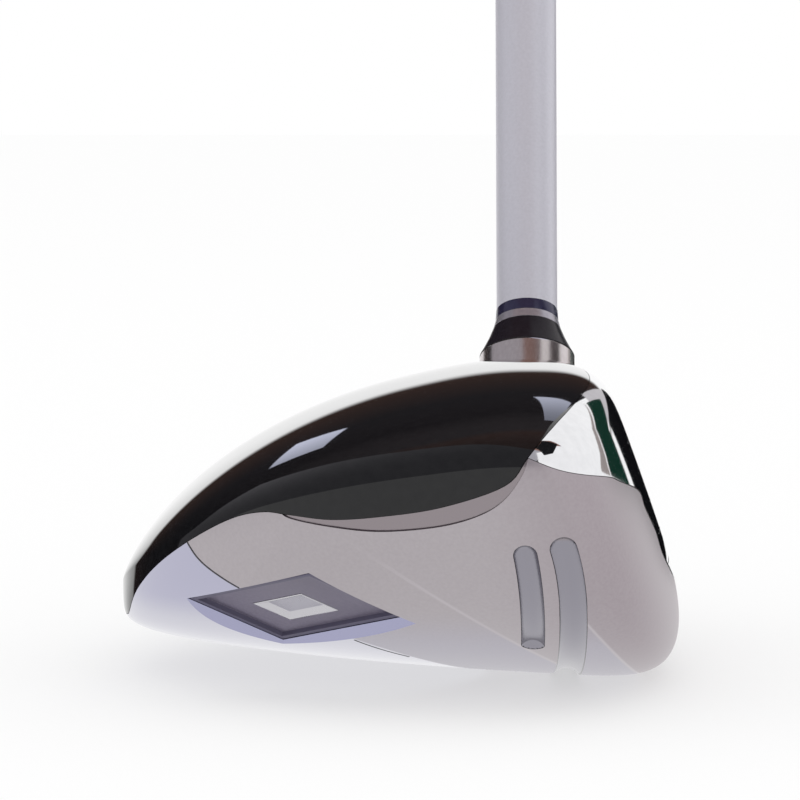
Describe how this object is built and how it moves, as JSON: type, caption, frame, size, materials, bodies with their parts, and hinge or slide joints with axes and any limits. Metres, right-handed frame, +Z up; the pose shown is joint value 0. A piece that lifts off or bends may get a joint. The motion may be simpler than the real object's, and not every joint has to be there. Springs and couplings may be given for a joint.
{
  "type": "hybrid golf club",
  "caption": "Right-handed hybrid golf club with a hollow wood-type head, gloss crown, polished face cup, sole grooves, three-band ferrule, tapered shaft and rubber grip.",
  "frame": {"origin": "the sole's point of rest, under the middle of the face, with the club at its playing lie", "axes": "+X towards the target, +Y from the toe to the heel, +Z up; the shaft leans towards +Y and slightly towards +X"},
  "size_m": [0.0785, 0.6025, 0.8914],
  "materials": {
    "satin_steel": "satin, warm grey",
    "gloss_black": "high gloss black paint",
    "polished_steel": "mirror polished",
    "badge_grey": "satin dark grey",
    "badge_light": "satin light grey",
    "tungsten": "as cast",
    "ferrule_black": "gloss",
    "ferrule_navy": "gloss",
    "ferrule_silver": "polished",
    "pearl_graphite": "pearl lacquer over graphite",
    "brass": "turned",
    "cork": "natural",
    "tape": "matte",
    "grip_rubber": "matte, fine texture"
  },
  "bodies": {
    "root": {"body_shell": "satin_steel", "crown_plate": "gloss_black", "face_cup": "polished_steel", "hosel_tube": "polished_steel", "sole_badge": "badge_grey", "badge_inlay": "badge_light", "sole_weight": "tungsten", "ferrule_base": "ferrule_black", "ferrule_ring": "ferrule_silver", "ferrule_top": "ferrule_navy", "shaft_tube": "pearl_graphite", "tip_plug": "brass", "tip_cork": "cork", "grip_tape": "tape", "grip_sleeve": "grip_rubber", "grip_cap": "grip_rubber"}
  },
  "joints": []
}
